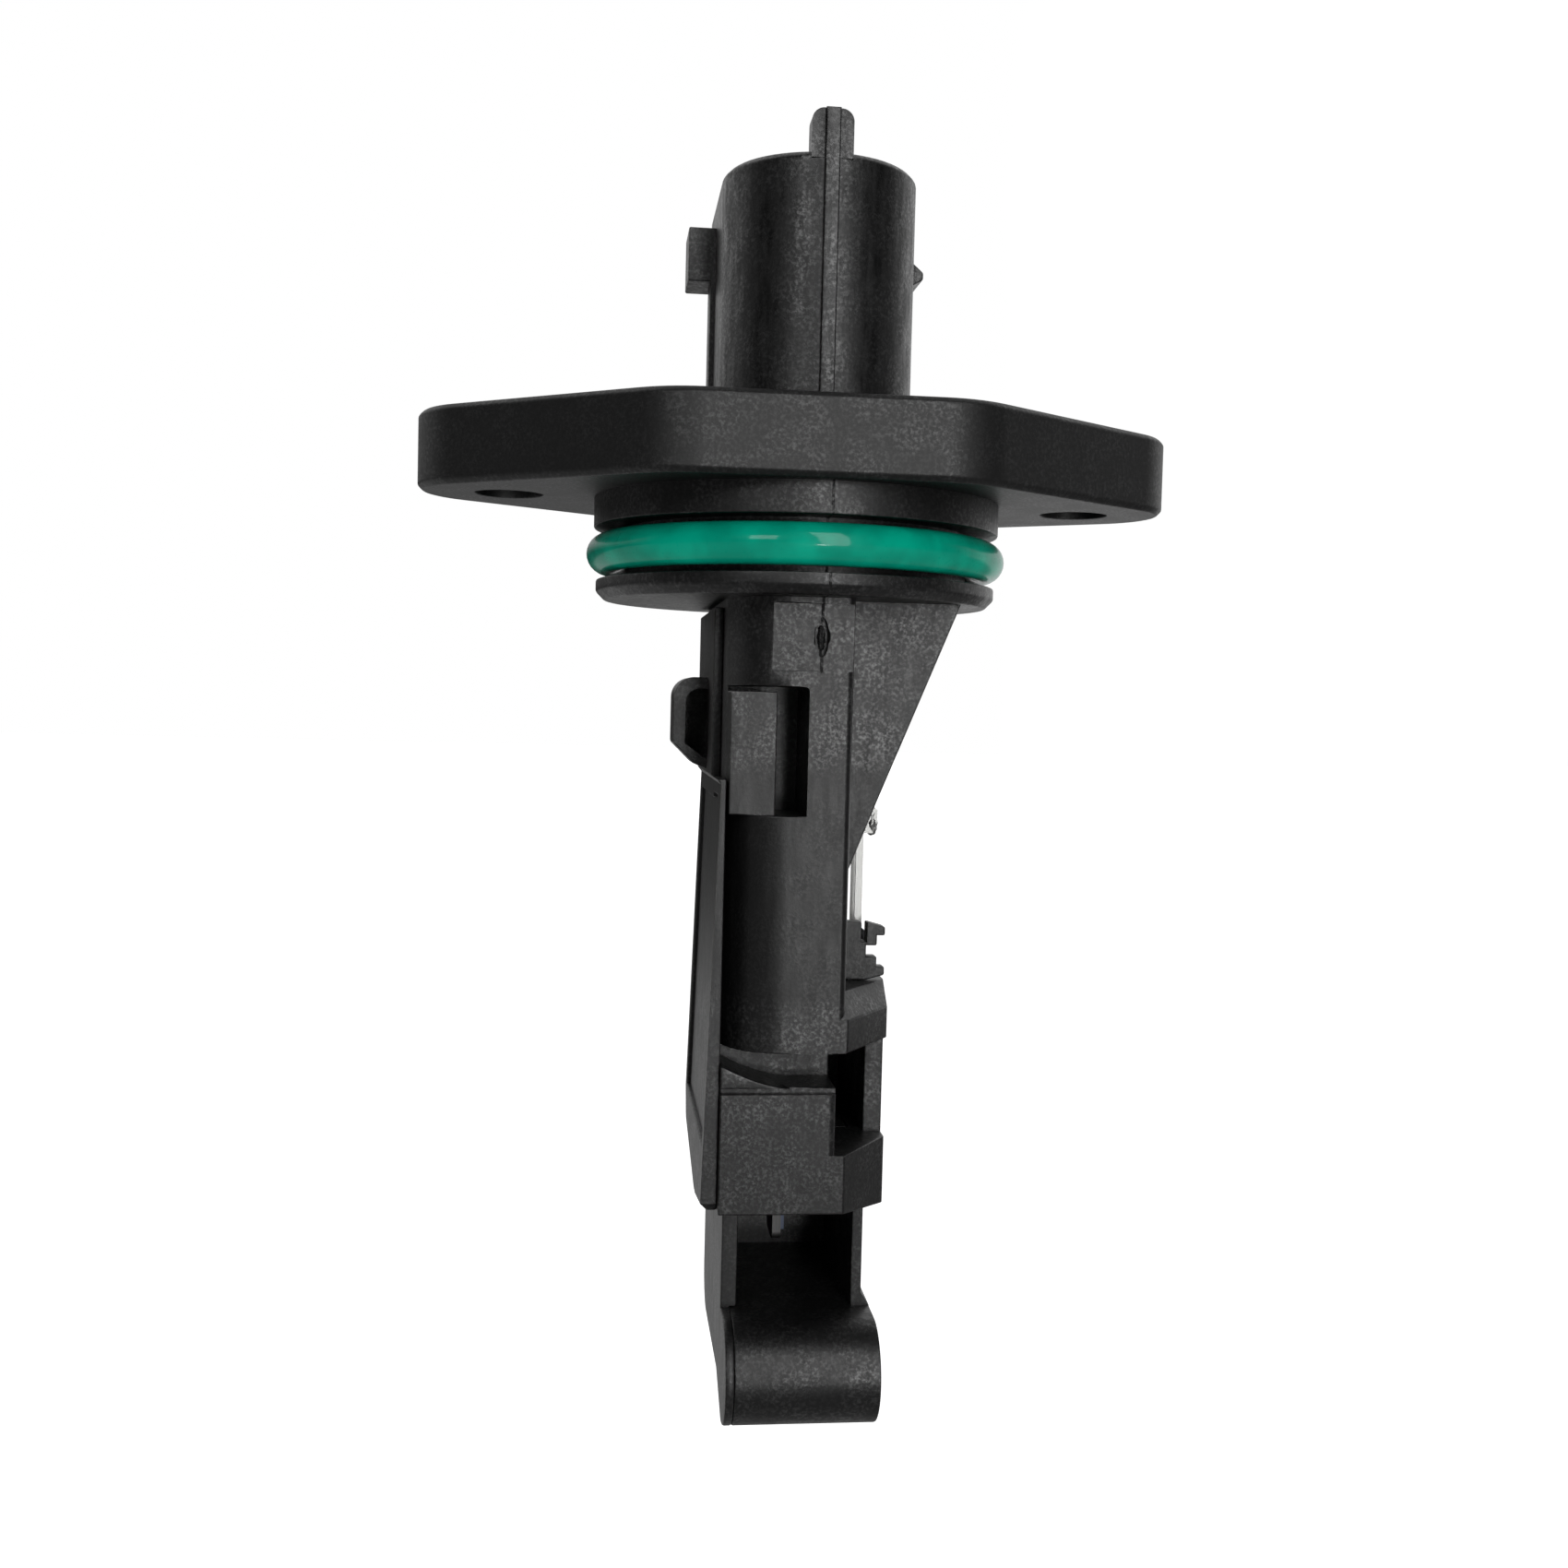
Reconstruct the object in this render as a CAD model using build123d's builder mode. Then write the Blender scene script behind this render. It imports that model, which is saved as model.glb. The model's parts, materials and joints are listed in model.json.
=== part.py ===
from build123d import *
import os

# Plug-in mass airflow sensor: a flanged plug that drops into an air duct, with a measuring finger below it.
#
# X runs along the flange through both screw holes, Y from the inlet side to the rear, Z up along the plug.
# The origin is on the plug's axis, on the underside of the flange, which seats on the duct. Millimetres.

# Flange
flange_thickness = 5.3
flange_side_overhang = 1.2
flange_end_radius = 6.2
flange_facet_half_length = 7.5
flange_corner_radius = 7.0
flange_edge_break = 0.35
screw_spacing = 40.2
screw_hole_diameter = 4.7

# Plug and its sealing ring
plug_neck_radius = 14.2
plug_neck_length = 2.1
seal_groove_length = 3.6
seal_groove_depth = 2.2
seal_section = 2.75
seal_flat = 0.12
seal_room = 0.05
plug_end_radius = 14.0
plug_end_length = 1.4
plug_end_bevel = 0.6

# Connector shell
connector_x = 0.4
connector_width = 13.0
connector_length = 23.0
connector_height = 21.1
connector_wall = 1.6
connector_rim_bevel = 0.4
socket_depth = 13.6
key_width = 2.7
key_thickness = 1.5
key_height = 2.6
key_corner = 0.8
key_root = 0.5
key_rib_width = 0.95
key_rib_height = 0.35
lug_front = 0.0
lug_length = 4.0
lug_reach = 1.9
lug_top = 19.0
lug_bottom = 15.3
ramp_reach = 1.75
ramp_top = 18.2
ramp_peak = 16.7
ramp_land = 0.5
ramp_bottom = 15.2
side_rail_width = 0.35
side_rail_length = 2.4

# Terminals
terminal_count = 5
terminal_pitch = 3.4
terminal_width = 1.2
terminal_thickness = 0.64
terminal_above_floor = 8.8
terminal_tip_taper = 0.35
terminal_tip_length = 1.2
board_end_pitch = 2.3
terminal_jog_top = 3.5
terminal_jog_bottom = -3.5
terminal_in_bay = 3.0
bay_terminal_x = -1.0
moulded_fit = 0.02

# Measuring finger, the frame that belongs to the housing
finger_left = -5.3
finger_front = -11.0
finger_back = 11.0
column_right = 2.8
column_round = 4.2
column_edge_round = 0.5
shoulder_top = -33.0
shoulder_drop = 1.1
shoulder_bevel = 1.6
collar_right = 6.5
collar_bottom = -48.6
collar_front_rise = 1.1
collar_front_flat_end = 3.0
collar_chamfer_depth = 5.2
collar_rear_rise = 4.6
collar_corner = 2.5
collar_slope_start = -4.0

# Front of the column
panel_left = -2.75
panel_top = -7.5
panel_height = 4.35
panel_depth = 0.25
oval_x = 0.65
oval_width = 0.9
oval_height = 2.6
oval_depth = 0.6
window_left = -5.15
window_width = 5.05
window_top = -12.9
window_height = 8.4
window_depth = 6.5
window_corner = 0.3
pad_width = 3.05
pad_setback = 0.7
pad_top_gap = 0.35
lip_z = -36.85
scoop_left_drop = 0.3
scoop_right_drop = 2.3
scoop_end = -0.65
seam_z = -39.15
seam_width = 0.4
seam_depth = 0.6

# Outlet slot at the front right corner
slot_left = 2.35
slot_top = -36.8
slot_bottom = -43.6
slot_rail_thickness = 1.3
slot_pocket_left = 2.35
slot_edge_round = 0.5
slot_pocket_depth = 7.5
slot_rail_setback = 6.5
outlet_chamber_left = 0.9

# Gusset that carries the temperature element's posts
gusset_reach = 7.65
gusset_tip_reach = 2.3
gusset_bottom = -20.4
gusset_front = -7.5
gusset_thickness = 9.5
gusset_wall = 1.3
gusset_tail = 5.9
gusset_core_height = 8.6

# Electronics bay, open to the left under the cover
bay_floor = 0.0
bay_front = -3.4
bay_back = 9.4
bay_top = -9.4
bay_bottom = -39.2
bay_corner = 1.0
adhesive_gap = 0.3
adhesive_width = 0.5
adhesive_depth = 0.5

# Electronics cover
cover_margin = 0.7
cover_lower_margin = 0.2
cover_plate_top = 0.65
cover_plate_bottom = 1.15
cover_step_z = -19.0
cover_step = 0.35
cover_step_face = 0.35
cover_upper_front = -4.8
cover_top = -7.6
cover_rim_width = 1.2
cover_panel_depth = 0.3
cover_panel_bottom = -43.4
cover_bevel = 0.5
hood_reach = 2.35
hood_top = -12.3
hood_bottom = -18.9
hood_front = 0.4
hood_length = 5.6
hood_wall = 0.8
hood_round = 1.4
hood_slope = 1.9
hood_root = 0.2

# Measuring channel moulding below the collar, and its side cover
channel_left = -3.95
channel_right = 5.2
channel_right_wall = 0.75
channel_cover_thickness = 0.6
channel_cover_pad = 0.5
channel_front = -5.8
channel_back = 10.5
channel_bottom = -62.5
channel_back_round = 3.0
channel_wall = 1.1
channel_fit = 0.1
nose_radius = 3.5
nose_overhang = 5.7
nose_side_step = 0.6
nose_flare = 0.9
nose_belly_length = 4.5
nose_belly_rise = 1.8
inlet_depth_to_riser = 9.2
inlet_ceiling = -49.2
riser_length = 4.5
neck_left = -3.95
neck_right = 4.4
neck_front = -2.6
neck_top = -43.8

# Circuit
carrier_thickness = 0.6
carrier_edge_gap = 0.3
board_thickness = 0.7
board_top = -13.4
board_bottom = -36.4
board_margin = 1.4
chip_size = 4.6
chip_height = 1.1
chip_z = -29.0
capacitor_width = 1.0
capacitor_length = 1.9
capacitor_height = 0.9
capacitor_count = 4
capacitor_pitch = 2.4
capacitor_z = -18.6
resistor_width = 0.7
resistor_length = 1.2
resistor_height = 0.4
resistor_count = 5
resistor_pitch = 2.0
resistor_z = -22.6
gel_thickness = 0.6
gel_top = -16.0
gel_bottom = -34.6
gel_side_margin = 0.6
wire_width = 0.2
wire_thickness = 0.15
wire_rise = 0.5
wire_land = 0.7
tongue_wire_pitch = 0.7

# Sensor tongue and chip
tongue_front = -1.5
tongue_width = 3.8
tongue_top = -37.6
tongue_tip_clearance = 3.2
tongue_tip_round = 0.6
sensor_chip_width = 2.4
sensor_chip_length = 2.2
sensor_chip_thickness = 0.3
sensor_chip_above_tip = 0.6

# Air temperature element
lead_width = 0.5
lead_thickness = 0.25
lead_front_y = -3.0
lead_rear_y = -1.0
post_x = 4.46
post_width = 0.55
post_thickness = 0.8
post_foot_reach = 0.85
post_foot_top = -20.95
post_foot_slope = 0.3
lead_top = -22.9
post_top = -19.0
bead_z = -30.3
bead_diameter = 1.5
bead_bevel = 0.3
hook_front = -5.0
hook_thickness = 1.2
hook_reach = 3.55
hook_top = -28.9
hook_bottom = -32.95
hook_gap = 0.75
hook_head = 1.3
hook_lip = 0.55
hook_lip_slope = 0.35
hook_lip_height = 0.95
hook_slot = 0.35
hook_bridge = 0.25

flange_half_width = plug_neck_radius + flange_side_overhang
plug_bottom = -(plug_neck_length + seal_groove_length + plug_end_length)
groove_floor_radius = plug_neck_radius - seal_groove_depth
seal_ring_z = -(plug_neck_length + seal_groove_length / 2)
seal_inner_radius = groove_floor_radius + seal_room
seal_ring_radius = seal_inner_radius + seal_section / 2 - seal_flat
socket_floor = connector_height - socket_depth
connector_left = connector_x - connector_width / 2
connector_right = connector_x + connector_width / 2
connector_front = -connector_length / 2
key_top = connector_height + key_height
terminal_rows = [i - (terminal_count - 1) / 2 for i in range(terminal_count)]
bay_middle = (bay_front + bay_back) / 2
carrier_left = bay_floor - carrier_thickness
board_left = carrier_left - board_thickness
board_front = bay_front + board_margin
board_back = bay_back - board_margin
cover_face_top = finger_left - cover_plate_top
cover_face_bottom = finger_left - cover_plate_bottom
channel_inner_right = channel_right - channel_right_wall
nose_top = channel_bottom + 2 * nose_radius
channel_rear_bottom = channel_bottom + nose_belly_rise
nose_y = channel_front - nose_overhang + nose_radius
riser_front = channel_front + inlet_depth_to_riser
riser_back = riser_front + riser_length
neck_back = riser_back + channel_wall
tongue_tip = nose_top + tongue_tip_clearance
past = 1.0


def flange_plan():
    """Lozenge with flat long sides: rounded ends about the screw holes and softened corners."""
    with BuildSketch() as plan:
        with Locations((-screw_spacing / 2, 0), (screw_spacing / 2, 0)):
            Circle(flange_end_radius)
        corner_y = flange_half_width - flange_corner_radius
        with GridLocations(2 * flange_facet_half_length, 2 * corner_y, 2, 2):
            Circle(flange_corner_radius)
        make_hull()
    return plan.sketch


def column_plan():
    """Plan of the upper finger: a bar whose front left corner is a broad curve."""
    with BuildSketch() as plan:
        with BuildLine():
            corner_side = (finger_left, finger_front + column_round)
            corner_front = (finger_left + column_round, finger_front)
            Polyline(corner_side, (finger_left, finger_back), (column_right, finger_back),
                     (column_right, finger_front), corner_front)
            RadiusArc(corner_front, corner_side, column_round)
        make_face()
        fillet(plan.vertices().group_by(Axis.X)[-1].sort_by(Axis.Y)[0], radius=column_edge_round)
    return plan.sketch


def collar_plan():
    """Plan of the lower finger: full width, with its front right corner cut off."""
    with BuildSketch() as plan:
        Polygon((finger_left, finger_back), (finger_left, finger_front),
                (collar_front_flat_end, finger_front), (collar_right, finger_front + collar_chamfer_depth),
                (collar_right, finger_back), align=None)
    return plan.sketch


def finger_lower_edge(margin=0.0, front=finger_front, back=finger_back):
    """Lower edge of the finger from front to rear: down a little, then rising."""
    low = collar_bottom + margin
    rear = low + collar_rear_rise
    way_ahead = (collar_slope_start - front) / (collar_slope_start - finger_front)
    return [(front, low + way_ahead * collar_front_rise), (collar_slope_start, low),
            (finger_back - collar_corner, rear - collar_corner),
            (back, rear - collar_corner + back - finger_back + collar_corner)]


def finger_side(margin=0.0, front=finger_front, top=plug_bottom):
    """Side of the finger above its lower edge."""
    edge = finger_lower_edge(margin, front + margin, finger_back - margin)
    with BuildSketch(Plane.YZ) as side:
        Polygon((front + margin, top), *edge, (finger_back - margin, top), align=None)
    return side.sketch


def channel_side():
    """Side of the measuring channel: an inlet set back above a round nose, closed by the collar on top."""
    edge = finger_lower_edge(-channel_fit, channel_front, channel_back)
    turn = channel_rear_bottom + channel_back_round
    with BuildSketch() as side:
        with BuildLine():
            Polyline((nose_y, nose_top), (channel_front, nose_top), *edge, (channel_back, turn))
            RadiusArc((channel_back, turn), (channel_back - channel_back_round, channel_rear_bottom),
                      channel_back_round)
            Polyline((channel_back - channel_back_round, channel_rear_bottom),
                     (nose_y + nose_belly_length, channel_rear_bottom), (nose_y, channel_bottom))
            ThreePointArc((nose_y, channel_bottom), (nose_y - nose_radius, channel_bottom + nose_radius),
                          (nose_y, nose_top))
        make_face()
    return side.sketch


def terminal_shape(row, grow=0.0):
    """One terminal: a blade in the socket, a jog inside the flange and a foot in the electronics bay."""
    top = socket_floor + terminal_above_floor
    foot = bay_top - terminal_in_bay
    upper = row * terminal_pitch
    lower = bay_middle + row * board_end_pitch
    half = terminal_width / 2 + grow
    tip = half - terminal_tip_taper
    thick = terminal_thickness / 2 + grow
    with BuildPart() as blade:
        with BuildSketch(Plane.YZ.offset(connector_left)):
            Polygon((upper - tip, top + grow), (upper - half, top - terminal_tip_length),
                    (upper - half, terminal_jog_top), (lower - half, terminal_jog_bottom),
                    (lower - half, foot - grow), (lower + half, foot - grow),
                    (lower + half, terminal_jog_bottom), (upper + half, terminal_jog_top),
                    (upper + half, top - terminal_tip_length), (upper + tip, top + grow), align=None)
        extrude(amount=connector_width)
        with BuildSketch(Plane.XZ.offset(connector_front)):
            Polygon((connector_x - thick, top + past), (connector_x - thick, terminal_jog_top),
                    (bay_terminal_x - thick, terminal_jog_bottom), (bay_terminal_x - thick, foot - past),
                    (bay_terminal_x + thick, foot - past), (bay_terminal_x + thick, terminal_jog_bottom),
                    (connector_x + thick, terminal_jog_top), (connector_x + thick, top + past), align=None)
        extrude(amount=connector_length, both=True, mode=Mode.INTERSECT)
    return blade.part


def post_shape(y, grow=0.0):
    """Contact post: a root held in the gusset and a foot to which the lead is welded."""
    left = post_x - grow
    right = post_x + post_width + grow
    outer = right + post_foot_reach
    half = post_thickness / 2 + grow
    with BuildPart() as post:
        with BuildSketch(Plane.XZ.offset(-y - half)):
            Polygon((left, post_top + grow), (left, lead_top), (right + lead_width, lead_top),
                    (outer, lead_top + post_foot_reach), (outer, post_foot_top - post_foot_slope),
                    (right, post_foot_top), (right, post_top + grow), align=None)
        extrude(amount=2 * half)
    return post.part


def cover_front_profile(inset=0.0):
    """Cover seen from the front: its outer face leans out downwards, with one step below the hood."""
    face_step = finger_left - cover_step_face
    with BuildSketch(Plane.XZ.offset(-finger_back)) as profile:
        Polygon((finger_left, cover_top), (cover_face_top + inset, cover_top),
                (cover_face_top + inset, cover_step_z), (face_step + inset, cover_step_z - cover_step),
                (cover_face_bottom + inset, collar_bottom), (finger_left, collar_bottom), align=None)
    return profile.sketch


def adhesive_ring():
    """Bead of adhesive round the mouth of the electronics bay."""
    with BuildSketch(Plane.YZ.offset(finger_left)) as ring:
        length, height = bay_back - bay_front, bay_top - bay_bottom
        outer = adhesive_gap + adhesive_width
        with Locations((bay_middle, (bay_top + bay_bottom) / 2)):
            RectangleRounded(length + 2 * outer, height + 2 * outer, bay_corner + outer)
            RectangleRounded(length + 2 * adhesive_gap, height + 2 * adhesive_gap, bay_corner + adhesive_gap,
                             mode=Mode.SUBTRACT)
    return ring.sketch


def cover_outline(inset=0.0, top=cover_top):
    """Cover seen from the side: it narrows above the step, where the column's side is free."""
    front, back = finger_front + cover_margin + inset, finger_back - cover_margin - inset
    edge = finger_lower_edge(cover_lower_margin + inset, front, back)
    step_z = cover_step_z - inset
    with BuildSketch() as outline:
        Polygon((cover_upper_front + inset, top - inset), (cover_upper_front + inset, step_z),
                (front, step_z), *edge, (back, top - inset), align=None)
    return outline.sketch


def hood_profile(inset=0.0):
    """Hood on the cover seen from the front: rounded on top, sloping back to the cover below."""
    outer = cover_face_top - hood_reach + inset
    root = cover_face_top + hood_root + inset / 2
    with BuildSketch() as profile:
        points = ((root, hood_top - inset), (outer, hood_top - inset), (outer, hood_bottom + hood_slope),
                  (outer + hood_round, hood_bottom + hood_slope - hood_round + inset / 2),
                  (root, hood_bottom + inset))
        Polygon(*points, align=None)
        corner = profile.vertices().group_by(Axis.X)[0].sort_by(Axis.Y)[-1]
        fillet(corner, radius=hood_round - inset / 2)
    return profile.sketch


def passage(inset=0.0):
    """Inlet passage seen from the side: open to the front and to the collar, with the neck over its rear."""
    low, ceiling = nose_top + inset, inlet_ceiling - inset
    front, back, top = channel_front - past, riser_back - inset, collar_bottom + past
    if inset:
        front, top = channel_front, collar_bottom - channel_fit - inset
    with BuildSketch(Plane.YZ.offset(channel_left)) as side:
        Polygon((front, low), (front, top), (neck_front - inset, top), (neck_front - inset, ceiling),
                (back, ceiling), (back, low), align=None)
    return side.sketch


def wire_shape(y, start_x, start_z, end_x, end_z):
    """Bond wire, a ribbon: out from one face, down, and back to the other face."""
    outer = min(start_x, end_x) - wire_rise
    inner = outer + wire_thickness
    with BuildPart() as wire:
        with BuildSketch(Plane.XZ.offset(-y - wire_width / 2)):
            Polygon((start_x, start_z), (outer, start_z), (outer, end_z), (end_x, end_z),
                    (end_x, end_z + wire_thickness), (inner, end_z + wire_thickness),
                    (inner, start_z - wire_thickness), (start_x, start_z - wire_thickness), align=None)
        extrude(amount=wire_width)
    return wire.part


def lead_shape(y):
    """Flat lead that runs down from a post's foot past the bead."""
    with BuildPart() as lead:
        with BuildSketch(Plane.XY.offset(lead_top)):
            with Locations((post_x + lead_width / 2, y)):
                Rectangle(lead_width, lead_thickness)
        extrude(amount=bead_z - bead_diameter / 2 - lead_top)
    return lead.part


# Finger shapes that the housing takes up

with BuildPart() as column:
    with BuildSketch(Plane.XY.offset(plug_bottom + past)):
        add(column_plan())
    extrude(amount=lip_z - plug_bottom - past)

with BuildPart() as collar:
    with BuildSketch(Plane.XZ.offset(-finger_back)):
        Polygon((finger_left, lip_z), (bay_floor, lip_z), (bay_floor, shoulder_top),
                (collar_right, shoulder_top), (collar_right, collar_bottom), (finger_left, collar_bottom),
                align=None)
    extrude(amount=finger_back - finger_front)
    with BuildSketch(Plane.XY):
        add(collar_plan())
    extrude(amount=collar_bottom - past, mode=Mode.INTERSECT)
    extrude(finger_side(), amount=2 * collar_right, both=True, mode=Mode.INTERSECT)
    # The shoulder slopes down to the right and to the cut corner
    shoulder = collar.faces().filter_by(Axis.Z).sort_by(Axis.Z)[-1]
    outer = shoulder.edges().sort_by(lambda edge: edge.center().X - edge.center().Y)[-2:]
    chamfer(outer, length=shoulder_drop, length2=shoulder_bevel, reference=shoulder)

with BuildPart() as scoop:
    with BuildSketch(Plane.XZ.offset(past - finger_front)):
        with BuildLine():
            start = (finger_left - past, lip_z - scoop_left_drop)
            end = (scoop_end, lip_z - scoop_right_drop)
            Polyline(start, (finger_left - past, lip_z), (slot_left, lip_z),
                     (slot_left, lip_z - scoop_right_drop), end)
            Spline(start, end, tangents=((1, -0.5), (1, -0.1)))
        make_face()
    extrude(amount=-(column_round + past))

with BuildPart() as gusset:
    with BuildSketch(Plane.XZ.offset(-gusset_front)):
        Polygon((column_right - past, plug_bottom + past), (column_right + gusset_reach, plug_bottom + past),
                (column_right + gusset_reach, plug_bottom),
                (column_right + gusset_tip_reach, gusset_bottom),
                (column_right, gusset_bottom - gusset_tail),
                (column_right - past, gusset_bottom - gusset_tail), align=None)
    extrude(amount=-gusset_thickness)
    # Cored out from the rear, as a moulding is
    with BuildSketch(Plane.XZ.offset(-gusset_front - gusset_wall)):
        top = plug_bottom - gusset_wall
        side = column_right + gusset_wall
        reach = column_right + gusset_reach - 2 * gusset_wall
        Polygon((side, top), (reach, top), (side, top - gusset_core_height), align=None)
    extrude(amount=-gusset_thickness, mode=Mode.SUBTRACT)

with BuildPart() as lead_hooks:
    # One root with two claws, whose lips reach past the leads
    with BuildSketch(Plane.XZ.offset(-hook_front)):
        hook_tip = column_right + hook_reach
        hook_root = column_right - past
        claw = hook_tip - hook_head
        lip = hook_tip - hook_lip
        middle = (hook_top + hook_bottom) / 2
        with Locations((hook_root, hook_bottom)):
            Rectangle(claw - hook_root, hook_top - hook_bottom, align=Align.MIN)
        for end, way in ((hook_top, -1), (hook_bottom, 1)):
            slope_end = end + way * hook_lip_slope
            lip_end = end + way * hook_lip_height
            gap_side = middle - way * hook_gap / 2
            Polygon((claw, end), (hook_tip, slope_end), (hook_tip, lip_end), (lip, lip_end), (lip, gap_side),
                    (claw, gap_side), align=None)
        # The upper claw stands free of the root down to a short bridge
        with Locations((claw, hook_top)):
            free_height = (hook_top - hook_bottom - hook_gap) / 2 - hook_bridge
            Rectangle(hook_slot, free_height, align=Align.MAX, mode=Mode.SUBTRACT)
    extrude(amount=-hook_thickness)

with BuildPart() as cover_panel:
    # What is cut from the cover's face inside its rim
    reach = finger_left - 2 * cover_plate_bottom
    with BuildSketch(Plane.YZ.offset(reach)):
        add(cover_outline(cover_rim_width, cover_step_z - cover_step))
        with Locations((0, cover_panel_bottom)):
            Rectangle(2 * finger_back, -cover_panel_bottom, align=(Align.CENTER, Align.MAX),
                      mode=Mode.SUBTRACT)
    extrude(amount=finger_left - reach)
    extrude(cover_front_profile(cover_panel_depth), amount=finger_back - finger_front, mode=Mode.SUBTRACT)

with BuildPart() as sensor_housing:
    # Plug with the groove for its sealing ring
    with BuildSketch(Plane.XZ) as plug_half:
        Polygon((0, past), (plug_neck_radius, past), (plug_neck_radius, -plug_neck_length),
                (groove_floor_radius, -plug_neck_length),
                (groove_floor_radius, -plug_neck_length - seal_groove_length),
                (plug_end_radius, -plug_neck_length - seal_groove_length),
                (plug_end_radius, plug_bottom), (0, plug_bottom), align=None)
        rim = plug_half.vertices().sort_by(Axis.Y)[:2].sort_by(Axis.X)[-1]
        chamfer(rim, length=plug_end_bevel)
    revolve(axis=Axis.Z)

    # Flange with its edges broken
    with BuildSketch():
        add(flange_plan())
    extrude(amount=flange_thickness)
    for level in (0, flange_thickness):
        outline = sensor_housing.edges().filter_by_position(Axis.Z, level, level)
        outline = outline.filter_by(lambda edge: edge.center().length > plug_neck_radius)
        chamfer(outline, length=flange_edge_break)
    with Locations(Plane.XY.offset(flange_thickness)):
        with GridLocations(screw_spacing, 0, 2, 1):
            Hole(screw_hole_diameter / 2, depth=flange_thickness)

    # Connector shell, its key and the key's rib
    with BuildSketch(Plane.XY.offset(flange_thickness)):
        with Locations((connector_x, 0)):
            SlotOverall(connector_length, connector_width, rotation=90)
    extrude(amount=connector_height - flange_thickness)
    chamfer(sensor_housing.faces().sort_by(Axis.Z)[-1].edges(), length=connector_rim_bevel)
    with BuildSketch(Plane.XZ.offset(-connector_front)) as key_face:
        with Locations((connector_x, key_top)):
            Rectangle(key_width, key_height + key_root, align=(Align.CENTER, Align.MAX))
        fillet(key_face.vertices().group_by(Axis.Y)[-1], radius=key_corner)
    extrude(amount=-key_thickness)
    with BuildSketch(Plane.XY.offset(flange_thickness)):
        with Locations((connector_x, connector_front - key_rib_height)):
            Rectangle(key_rib_width, key_thickness, align=(Align.CENTER, Align.MIN))
    extrude(amount=key_top - flange_thickness)
    with BuildSketch(Plane.XY.offset(connector_height)):
        with Locations((connector_x, 0)):
            SlotOverall(connector_length - 2 * connector_wall, connector_width - 2 * connector_wall,
                        rotation=90)
    extrude(amount=-socket_depth, mode=Mode.SUBTRACT)

    # Block lug on the left of the shell, ramp lug on its right, and the rail below the block
    with BuildSketch(Plane.XZ.offset(-lug_front)):
        with Locations((connector_left + connector_wall / 2, lug_bottom)):
            Rectangle(lug_reach + connector_wall / 2, lug_top - lug_bottom, align=(Align.MAX, Align.MIN))
        root = connector_right - connector_wall / 2
        ramp_edge = connector_right + ramp_reach
        Polygon((root, ramp_bottom), (connector_right, ramp_bottom), (ramp_edge, ramp_peak - ramp_land),
                (ramp_edge, ramp_peak), (connector_right, ramp_top), (root, ramp_top), align=None)
    extrude(amount=-lug_length)
    with BuildSketch(Plane.XY.offset(flange_thickness)):
        with Locations((connector_left + connector_wall / 2, lug_front)):
            Rectangle(side_rail_width + connector_wall / 2, side_rail_length, align=(Align.MAX, Align.MIN))
    extrude(amount=lug_bottom - flange_thickness)

    # Finger, gusset and lead hooks
    add(column.part)
    add(collar.part)
    add(gusset.part)
    add(lead_hooks.part)
    add(scoop.part, mode=Mode.SUBTRACT)

    # Groove above the band, and the shallow panel with an oval mark near the plug
    with BuildSketch(Plane.XZ.offset(-finger_front)):
        with Locations((finger_left, seam_z)):
            Rectangle(slot_left - finger_left, seam_width, align=(Align.MIN, Align.MAX))
    extrude(amount=-seam_depth, mode=Mode.SUBTRACT)
    with BuildSketch(Plane.XZ.offset(-finger_front)):
        with Locations((panel_left, panel_top)):
            Rectangle(column_right - panel_left, panel_height, align=(Align.MIN, Align.MAX))
    extrude(amount=-panel_depth, mode=Mode.SUBTRACT)
    with BuildSketch(Plane.XZ.offset(-finger_front - panel_depth)):
        with Locations((oval_x, panel_top - panel_height / 2)):
            Ellipse(oval_width / 2, oval_height / 2)
    extrude(amount=-oval_depth, mode=Mode.SUBTRACT)

    # Window in the column, with a flat pad that covers its left part
    with BuildSketch(Plane.XZ.offset(past - finger_front)):
        with Locations((window_left, window_top)):
            window = Rectangle(window_width, window_height, align=(Align.MIN, Align.MAX))
        fillet(window.vertices().sort_by(lambda corner: corner.X + corner.Z)[-1], radius=window_corner)
    extrude(amount=-past - window_depth, mode=Mode.SUBTRACT)
    with BuildSketch(Plane.XZ.offset(-finger_front - pad_setback)):
        with Locations((window_left, window_top - pad_top_gap)):
            Rectangle(pad_width, window_height - pad_top_gap, align=(Align.MIN, Align.MAX))
    extrude(amount=pad_setback - window_depth)

    # Outlet slot at the front right corner, and the chamber that leads to it from the rear
    with BuildSketch(Plane.XY.offset(slot_top)):
        with Locations((slot_left, finger_front - past)):
            Rectangle(collar_right - slot_left + past, slot_rail_setback + past, align=Align.MIN)
        with Locations((slot_pocket_left, finger_front - past)):
            Rectangle(collar_right - slot_rail_thickness - slot_pocket_left, slot_pocket_depth + past,
                      align=Align.MIN)
    extrude(amount=slot_bottom - slot_top, mode=Mode.SUBTRACT)
    with BuildSketch(Plane.XY.offset(slot_top)):
        with Locations((outlet_chamber_left, finger_front + slot_pocket_depth)):
            Rectangle(collar_right - slot_rail_thickness - outlet_chamber_left,
                      riser_back - finger_front - slot_pocket_depth, align=Align.MIN)
    extrude(amount=neck_top - slot_top, mode=Mode.SUBTRACT)
    bar_edges = sensor_housing.edges().filter_by(Axis.Z)
    bar_edges = bar_edges.filter_by_position(Axis.X, slot_left - moulded_fit, slot_left + moulded_fit)
    fillet(bar_edges.group_by(Axis.Y)[0], radius=slot_edge_round)

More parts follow.
